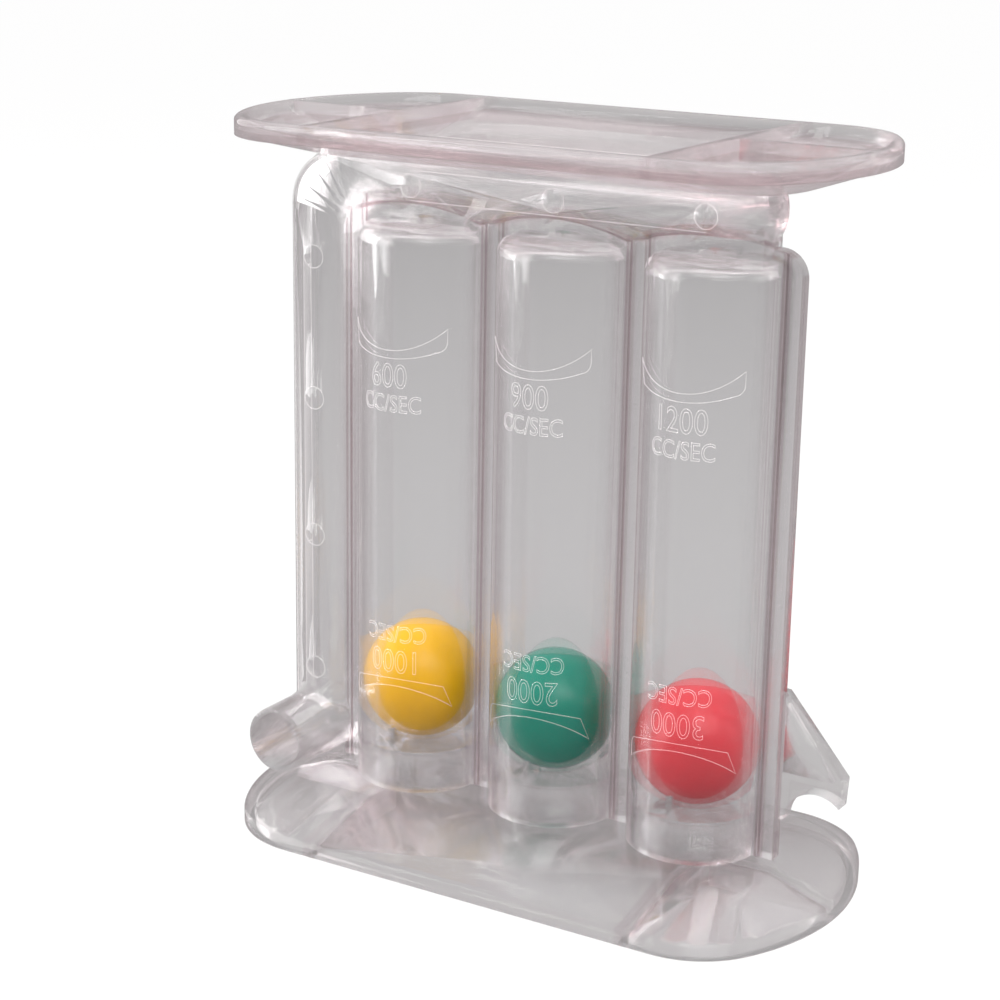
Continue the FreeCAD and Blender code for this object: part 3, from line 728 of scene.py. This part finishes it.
class SPIROMETER_OT_ridges(bpy.types.Operator):
    """Raise thin rims round the pads and thin ridges on the duct and in the tray"""
    bl_idname = "spirometer.ridges"
    bl_label = "Rims and ridges"

    def execute(self, context):
        sizes = context.scene.spirometer_markings
        look = context.scene.spirometer_clear
        # The rims and ridges glow: painted highlight lines
        material = clear_plastic("ridge_plastic", look, density=0.0, haze=0.1, wave=0.2,
                                 glow=look.ridge_painted_glow)
        tree = ring_tree(material)
        column, low, high = PAD_COLUMN
        rows = {
            "column_pad_rims": ((column, PAD_FACE, low), (column, PAD_FACE, high), 4),
            "arm_pad_rims": ((TUBE_X[0], PAD_FACE, ARM_PADS), (TUBE_X[2], PAD_FACE, ARM_PADS), 3),
        }
        for name, (start, end, count) in rows.items():
            rims = grow(name, tree, Start=start, End=end, Count=count, Radius=PAD_RADIUS, Stroke=sizes.stroke)
            finish_piece(rims, "root", "clear_shell")
        tree = ridge_tree(material)
        row = TUBE_X[2] - TUBE_X[0]
        lines = {
            "column_ridges": ((column - COLUMN_RIDGE_SHIFT, DUCT_FACE, low - COLUMN_RIDGE_REACH),
                              (0, 0, high - low + 2 * COLUMN_RIDGE_REACH), (COLUMN_RIDGE_STEP, 0, 0), 2),
            "arm_ridges": ((TUBE_X[0], DUCT_FACE, ARM_PADS - ARM_RIDGE_GAP), (row, 0, 0),
                           (0, 0, 2 * ARM_RIDGE_GAP), 2),
            "tray_ridges": (TRAY_RIDGE_START, (TRAY_RIDGE_LENGTH, 0, 0), (0, TRAY_RIDGE_STEP, 0), 4),
        }
        for name, (start, reach, step, count) in lines.items():
            ridges = grow(name, tree, Start=start, Reach=reach, Step=step, Count=count, Stroke=sizes.stroke)
            finish_piece(ridges, "root", "clear_plate" if name == "tray_ridges" else "clear_shell")
        return {"FINISHED"}


def bubble_tree(material):
    """Geometry nodes: flat bubbles scattered along a straight line."""
    graph, given = start_tree("seam_bubbles", Start=ORIGIN, End=ORIGIN, Count=10, Radius=0.3 * MM,
                              Spread=1.0 * MM, Seed=0)
    line = graph.node("GeometryNodeCurvePrimitiveLine", {"Start": given["Start"], "End": given["End"]})
    points = graph.node("GeometryNodeCurveToPoints", {"Curve": line, "Count": given["Count"]}, "Points")
    across = graph.node("FunctionNodeRandomValue", {
        2: given["Spread"] * -1.0, 3: given["Spread"], "Seed": given["Seed"]}, 1, data_type="FLOAT")
    offset = graph.node("ShaderNodeCombineXYZ", {"X": across})
    placed = graph.node("GeometryNodeSetPosition", {"Geometry": points, "Offset": offset})
    share = graph.node("FunctionNodeRandomValue", {
        2: 0.1, 3: 1.0, "Seed": given["Seed"] + 7.0}, 1, data_type="FLOAT")
    radius = share ** 3.0 * given["Radius"]
    scale = graph.node("ShaderNodeCombineXYZ", {"X": radius, "Y": BUBBLE_DEPTH, "Z": radius})
    ball = graph.node("GeometryNodeMeshIcoSphere", {"Radius": 1.0, "Subdivisions": 2}, "Mesh")
    bubbles = graph.node("GeometryNodeInstanceOnPoints", {"Points": placed, "Instance": ball, "Scale": scale})
    return finish_tree(graph, bubbles, material)


SEAM_FOOT_GAP = 4 * MM
SEAM_TOP_GAP = 16 * MM
SEAM_SPREAD = 0.9 * MM


class SPIROMETER_OT_seam(bpy.types.Operator):
    """Scatter small bubbles in the bonded seam"""
    bl_idname = "spirometer.seam"
    bl_label = "Seam bubbles"

    def execute(self, context):
        sizes = context.scene.spirometer_seam
        look = context.scene.spirometer_clear
        material = clear_plastic("seam_glue", look, density=0.0, haze=0.2, wave=0.2, glow=look.stray_painted_glow)
        tree = bubble_tree(material)
        low = BODY_FOOT + SEAM_FOOT_GAP
        high = BODY_TOP - SEAM_TOP_GAP
        pitch = TUBE_X[1] - TUBE_X[0]
        right = (TUBE_X[2] + TUBE_RADIUS + FLANGE_RIGHT) / 2
        lines = {"left": TUBE_X[0] + pitch / 2, "middle": TUBE_X[1] + pitch / 2, "right": right}
        for place, (side, x) in enumerate(lines.items()):
            piece = grow(f"{side}_seam_bubbles", tree, Start=(x, SEAM_Y, low), End=(x, SEAM_Y, high),
                         Count=sizes.bubbles, Radius=sizes.bubble_radius, Spread=SEAM_SPREAD,
                         Seed=sizes.seed + place)
            finish_piece(piece, "root", "clear_shell")
        return {"FINISHED"}


def direct_view(graph):
    """1 for a camera ray that has passed no clear wall yet."""
    camera = graph.node("ShaderNodeLightPath", output="Is Camera Ray")
    walls = graph.node("ShaderNodeLightPath", output="Transparent Depth")
    return camera * graph.bounded(1.0, walls, "SUBTRACT")


FLOOR_GREY_SHARE = 0.52
SEEN_GLOW_SHARE = 0.92
THROUGH_GLOW_SHARE = 0.75


def floor_material(through):
    """White with a soft shadow to the camera, plain grey to rays that come through the object."""
    material, graph = new_material("floor_paint")
    grain = graph.noise(object_place(graph), 900.0)
    paint = graph.mix_colour(grain, (0.80, 0.80, 0.80, 1.0), (0.84, 0.84, 0.84, 1.0))
    lit = graph.node("ShaderNodeBsdfDiffuse", {"Color": paint})
    glow = graph.node("ShaderNodeEmission", {"Color": WHITE, "Strength": 1.0})
    grey = graph.node("ShaderNodeEmission", {
        "Color": (0.98, 0.96, 0.96, 1.0), "Strength": through * FLOOR_GREY_SHARE})
    seen = graph.node("ShaderNodeMixShader", {"Fac": SEEN_GLOW_SHARE, 1: lit, 2: glow})
    other = graph.node("ShaderNodeMixShader", {"Fac": THROUGH_GLOW_SHARE, 1: lit, 2: grey})
    surface = graph.node("ShaderNodeMixShader", {"Fac": direct_view(graph), 1: other, 2: seen})
    graph.node("ShaderNodeOutputMaterial", {"Surface": surface})
    return material


def make_floor(stage):
    """A flat square that faces up, under the object."""
    mesh = bpy.data.meshes.new("floor")
    half = stage.floor_size / 2
    mesh.from_pydata([(-half, -half, 0), (half, -half, 0), (half, half, 0), (-half, half, 0)], [],
                     [(0, 1, 2, 3)])
    floor = link(bpy.data.objects.new("floor", mesh))
    mesh.materials.append(floor_material(stage.through_grey))


def camera_axes(stage):
    """The camera's right, up and backward directions."""
    back = Vector((math.sin(stage.azimuth) * math.cos(stage.elevation),
                   -math.cos(stage.azimuth) * math.cos(stage.elevation), math.sin(stage.elevation)))
    level = Vector((0, 0, 1)).cross(back).normalized()
    upright = back.cross(level)
    turn, tilt = math.cos(stage.roll), math.sin(stage.roll)
    return level * turn + upright * tilt, upright * turn - level * tilt, back


def make_camera(stage):
    """A camera at the photograph's viewing angle."""
    right, upward, back = camera_axes(stage)
    lens = bpy.data.cameras.new("camera")
    lens.sensor_width = 36.0
    lens.lens = stage.lens
    lens.clip_start = 0.01
    lens.dof.use_dof = False
    camera = link(bpy.data.objects.new("camera", lens))
    placed = Matrix((right, upward, back)).transposed().to_4x4()
    placed.translation = CAMERA_TARGET + back * stage.distance
    camera.matrix_world = placed
    bpy.context.scene.camera = camera


NEAR_EDGE = 0.80
NEAR_SOFTNESS = 0.30


def make_room(stage):
    """A world that is white to the camera and a soft grey room to every other ray."""
    world = bpy.data.worlds.new("room")
    world.use_nodes = True
    bpy.context.scene.world = world
    graph = Graph(world.node_tree)
    way = graph.node("ShaderNodeTexCoord", output="Generated")
    forward = -camera_axes(stage)[2]
    ahead = graph.node("ShaderNodeVectorMath", {0: way, 1: forward}, "Value", operation="DOT_PRODUCT")
    upward = graph.node("ShaderNodeSeparateXYZ", {"Vector": way}, "Z")
    near = graph.bounded(NEAR_EDGE - ahead, NEAR_SOFTNESS, "DIVIDE")
    bright = near * (stage.front_light - stage.through_grey) + stage.through_grey
    bright = bright + graph.bounded(upward, stage.sky_rise, "MULTIPLY")
    tone = graph.mix_colour(near, (0.985, 1.0, 1.0, 1.0), (1.0, 0.965, 0.97, 1.0))
    room = graph.node("ShaderNodeBackground", {"Color": tone, "Strength": bright})
    white = graph.node("ShaderNodeBackground", {"Color": WHITE, "Strength": 1.0})
    surface = graph.node("ShaderNodeMixShader", {"Fac": direct_view(graph), 1: room, 2: white})
    graph.node("ShaderNodeOutputWorld", {"Surface": surface})


# Each lamp's name, width and height in metres, share of the power, azimuth and elevation in degrees
LAMPS = (
    ("key_light", 1.0, 0.8, 1.6, -82.0, 14.0),
    ("streak_light", 0.25, 0.8, 1.2, -43.0, 14.0),
    ("fill_light", 0.7, 0.4, 1.5, 48.0, 50.0),
    ("right_light", 0.8, 0.6, 0.55, 112.0, 24.0),
    ("top_light", 0.5, 0.3, 1.0, 12.0, 74.0),
)


def make_lamp(name, width, height, power, azimuth, elevation):
    """A soft rectangle of light aimed at the object's middle."""
    lamp = bpy.data.lights.new(name, "AREA")
    lamp.shape = "RECTANGLE"
    lamp.size = width
    lamp.size_y = height
    lamp.energy = power
    thing = link(bpy.data.objects.new(name, lamp))
    angle, rise = math.radians(azimuth), math.radians(elevation)
    back = Vector((math.sin(angle) * math.cos(rise), -math.cos(angle) * math.cos(rise), math.sin(rise)))
    thing.location = LAMP_TARGET + back * LAMP_DISTANCE
    thing.rotation_mode = "QUATERNION"
    thing.rotation_quaternion = back.to_track_quat("Z", "Y")


class SPIROMETER_OT_stage(bpy.types.Operator):
    """Set the floor, the room, the lights and the camera"""
    bl_idname = "spirometer.stage"
    bl_label = "Stage"

    def execute(self, context):
        stage = context.scene.spirometer_stage
        make_floor(stage)
        make_room(stage)
        for name, width, height, power, azimuth, elevation in LAMPS:
            make_lamp(name, width, height, stage.lamp_power * power, azimuth, elevation)
        make_camera(stage)
        context.scene.view_settings.view_transform = "Standard"
        return {"FINISHED"}


class SPIROMETER_PT_looks(bpy.types.Panel):
    """List the operators and the settings that they read"""
    bl_idname = "SPIROMETER_PT_looks"
    bl_label = "Spirometer"
    bl_space_type = "VIEW_3D"
    bl_region_type = "UI"
    bl_category = "Spirometer"

    def draw(self, context):
        for operator in OPERATORS:
            self.layout.operator(operator.bl_idname)
        for group in SETTINGS:
            box = self.layout.box()
            settings = getattr(context.scene, group)
            for name in settings.bl_rna.properties.keys():
                if name not in ("rna_type", "name"):
                    box.prop(settings, name)


SETTINGS = {
    "spirometer_clear": ClearLook,
    "spirometer_balls": BallLook,
    "spirometer_markings": MarkingSizes,
    "spirometer_seam": SeamSizes,
    "spirometer_stage": StageSizes,
}
OPERATORS = (SPIROMETER_OT_shells, SPIROMETER_OT_plates, SPIROMETER_OT_plugs, SPIROMETER_OT_balls,
             SPIROMETER_OT_markings, SPIROMETER_OT_ridges, SPIROMETER_OT_seam, SPIROMETER_OT_stage)
CLASSES = (*SETTINGS.values(), *OPERATORS, SPIROMETER_PT_looks)


def register():
    for item in CLASSES:
        bpy.utils.register_class(item)
    for name, group in SETTINGS.items():
        setattr(bpy.types.Scene, name, bpy.props.PointerProperty(type=group))


def unregister():
    for name in SETTINGS:
        delattr(bpy.types.Scene, name)
    for item in reversed(CLASSES):
        bpy.utils.unregister_class(item)


def main():
    register()
    for operator in OPERATORS:
        group, name = operator.bl_idname.split(".")
        getattr(getattr(bpy.ops, group), name)()


if __name__ == "__main__":
    main()
